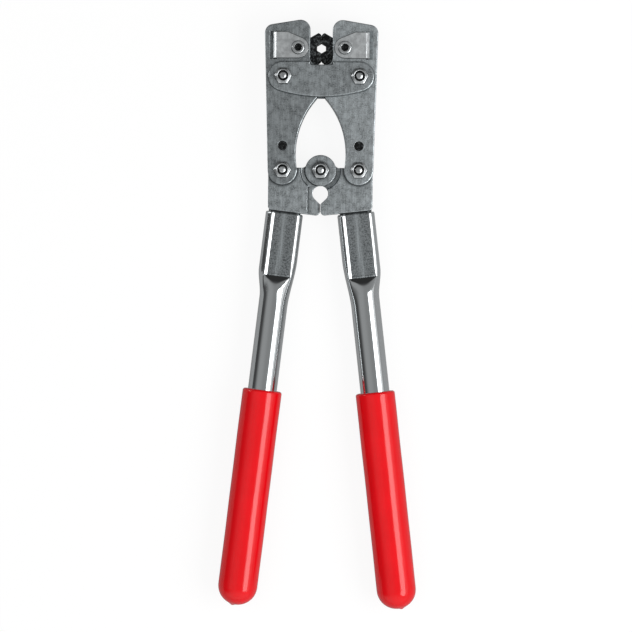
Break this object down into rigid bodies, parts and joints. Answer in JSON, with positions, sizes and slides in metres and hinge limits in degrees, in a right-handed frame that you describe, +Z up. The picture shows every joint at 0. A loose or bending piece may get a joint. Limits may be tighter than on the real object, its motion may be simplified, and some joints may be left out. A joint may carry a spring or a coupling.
{
  "type": "cable lug crimping pliers",
  "caption": "Long-handled hand crimping pliers with turning hexagonal dies in plate jaws, a compound lever head, chromed tube handles and red dipped grips.",
  "frame": {"origin": "on the bench under the middle of the tool's box, the tool lying on its back", "axes": "+X to the right handle, +Y along the tool towards the jaws, +Z up, away from the bench"},
  "size_m": [0.1314, 0.39, 0.0325],
  "materials": {
    "forged_steel": "satin plated, mottled",
    "bright_bolts": "bright zinc plated",
    "spring_steel": "satin, brushed along the strip",
    "black_dies": "black oxide on hardened steel",
    "black_pins": "black oxide",
    "chrome_tube": "polished, dull on the pressed flats",
    "red_grip": "glossy dipped PVC"
  },
  "bodies": {
    "frame": {"front_strap": "forged_steel", "back_strap": "forged_steel", "strap_bolts": "bright_bolts", "strap_nuts": "bright_bolts"},
    "left_jaw": {"left_front_cheek": "forged_steel", "left_back_cheek": "forged_steel", "left_spacer": "forged_steel", "left_dowel": "black_pins", "left_die_wheel": "black_dies", "left_die_axle_screw": "bright_bolts", "left_detent_spring": "spring_steel", "left_pivot_bolt": "bright_bolts", "left_pivot_nut": "bright_bolts"},
    "right_jaw": {"right_front_cheek": "forged_steel", "right_back_cheek": "forged_steel", "right_spacer": "forged_steel", "right_dowel": "black_pins", "right_die_wheel": "black_dies", "right_die_axle_screw": "bright_bolts", "right_detent_spring": "spring_steel", "right_pivot_bolt": "bright_bolts", "right_pivot_nut": "bright_bolts"},
    "left_handle": {"left_handle_head": "forged_steel", "left_tube": "chrome_tube", "left_grip": "red_grip"},
    "right_handle": {"right_handle_head": "forged_steel", "right_tube": "chrome_tube", "right_grip": "red_grip", "hub_bolt": "bright_bolts", "hub_nut": "bright_bolts"}
  },
  "joints": [
    {"name": "left_jaw_swing", "type": "hinge", "parent": "frame", "child": "left_jaw", "pos_m": [-0.0252, 0.1576, 0.0131], "axis": [0, 0, 1], "range_deg": [0, 6.87]},
    {"name": "right_jaw_swing", "type": "hinge", "parent": "frame", "child": "right_jaw", "pos_m": [0.0252, 0.1576, 0.0131], "axis": [0, 0, -1], "range_deg": [0, 6.87]},
    {"name": "left_handle_swing", "type": "hinge", "parent": "left_jaw", "child": "left_handle", "pos_m": [-0.0252, 0.0958, 0.0131], "axis": [0, 0, -1], "range_deg": [0, 51.87]},
    {"name": "handle_spread", "type": "hinge", "parent": "left_handle", "child": "right_handle", "pos_m": [0, 0.0958, 0.0131], "axis": [0, 0, 1], "range_deg": [0, 90]}
  ],
  "couplings": [
    {"joint": "left_jaw_swing", "follows": "handle_spread", "ratio": 0.076215},
    {"joint": "right_jaw_swing", "follows": "handle_spread", "ratio": 0.076215},
    {"joint": "left_handle_swing", "follows": "handle_spread", "ratio": 0.57621}
  ]
}
